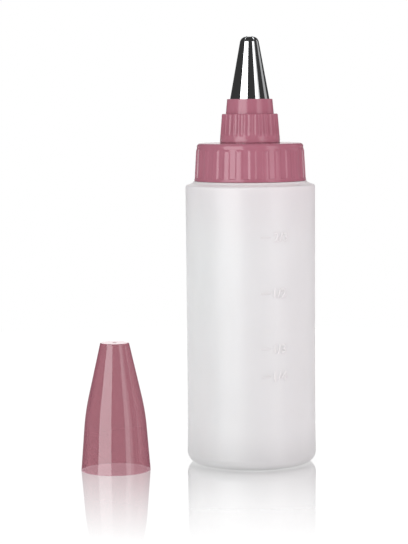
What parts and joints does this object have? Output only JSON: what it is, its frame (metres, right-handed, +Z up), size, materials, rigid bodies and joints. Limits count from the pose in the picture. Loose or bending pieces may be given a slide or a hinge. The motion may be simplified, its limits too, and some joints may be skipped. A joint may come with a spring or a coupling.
{
  "type": "decorating squeeze bottle",
  "caption": "Free-standing soft squeeze bottle with a screw collar and spout, a star nozzle clamped by a ring nut, and a tapered overcap standing beside it.",
  "frame": {"origin": "middle of the set's footprint, at the level that the bottle and the overcap stand on; the bottle's axis is 20.15 mm along +X and 2.7 mm along +Y from it", "axes": "+Z up along the bottle's axis, -Y towards the viewer, who sees the graduation marks and has the overcap at the left, on the -X side"},
  "size_m": [0.09, 0.0552, 0.1638],
  "materials": {
    "milky_plastic": "soft translucent low-density polyethylene, satin",
    "seal_plastic": "soft white sealing washer, matt",
    "pink_plastic": "dusty pink polypropylene, moulded, glossy",
    "overcap_plastic": "translucent dusty pink plastic, glossy",
    "polished_steel": "stainless steel sheet, drawn and polished"
  },
  "bodies": {
    "bottle": {"bottle_body": "milky_plastic"},
    "seal": {"collar_seal": "seal_plastic"},
    "collar": {"screw_collar": "pink_plastic"},
    "nozzle": {"star_nozzle": "polished_steel"},
    "ring": {"ring_nut": "pink_plastic"},
    "overcap": {"overcap": "overcap_plastic"}
  },
  "joints": [
    {"name": "collar_lift", "type": "slide", "parent": "bottle", "child": "seal", "axis": [0, 0, 1], "range_m": [0, 0.0126]},
    {"name": "collar_turn", "type": "hinge", "parent": "seal", "child": "collar", "pos_m": [0.02015, 0.0027, 0.1088], "axis": [0, 0, 1], "range_deg": [0, 1080.5]},
    {"name": "nozzle_lift", "type": "slide", "parent": "collar", "child": "nozzle", "axis": [0, 0, 1], "range_m": [0, 0.018]},
    {"name": "ring_turn", "type": "hinge", "parent": "nozzle", "child": "ring", "pos_m": [0.02015, 0.0027, 0.12345], "axis": [0, 0, 1], "range_deg": [0, 1440.5]},
    {"name": "overcap_lift", "type": "slide", "parent": "bottle", "child": "overcap", "axis": [0, 0, 1], "range_m": [0, 0.17]}
  ],
  "couplings": [
    {"joint": "collar_turn", "follows": "collar_lift", "rad_per_m": 1496},
    {"joint": "ring_turn", "follows": "nozzle_lift", "rad_per_m": 1396.3}
  ]
}
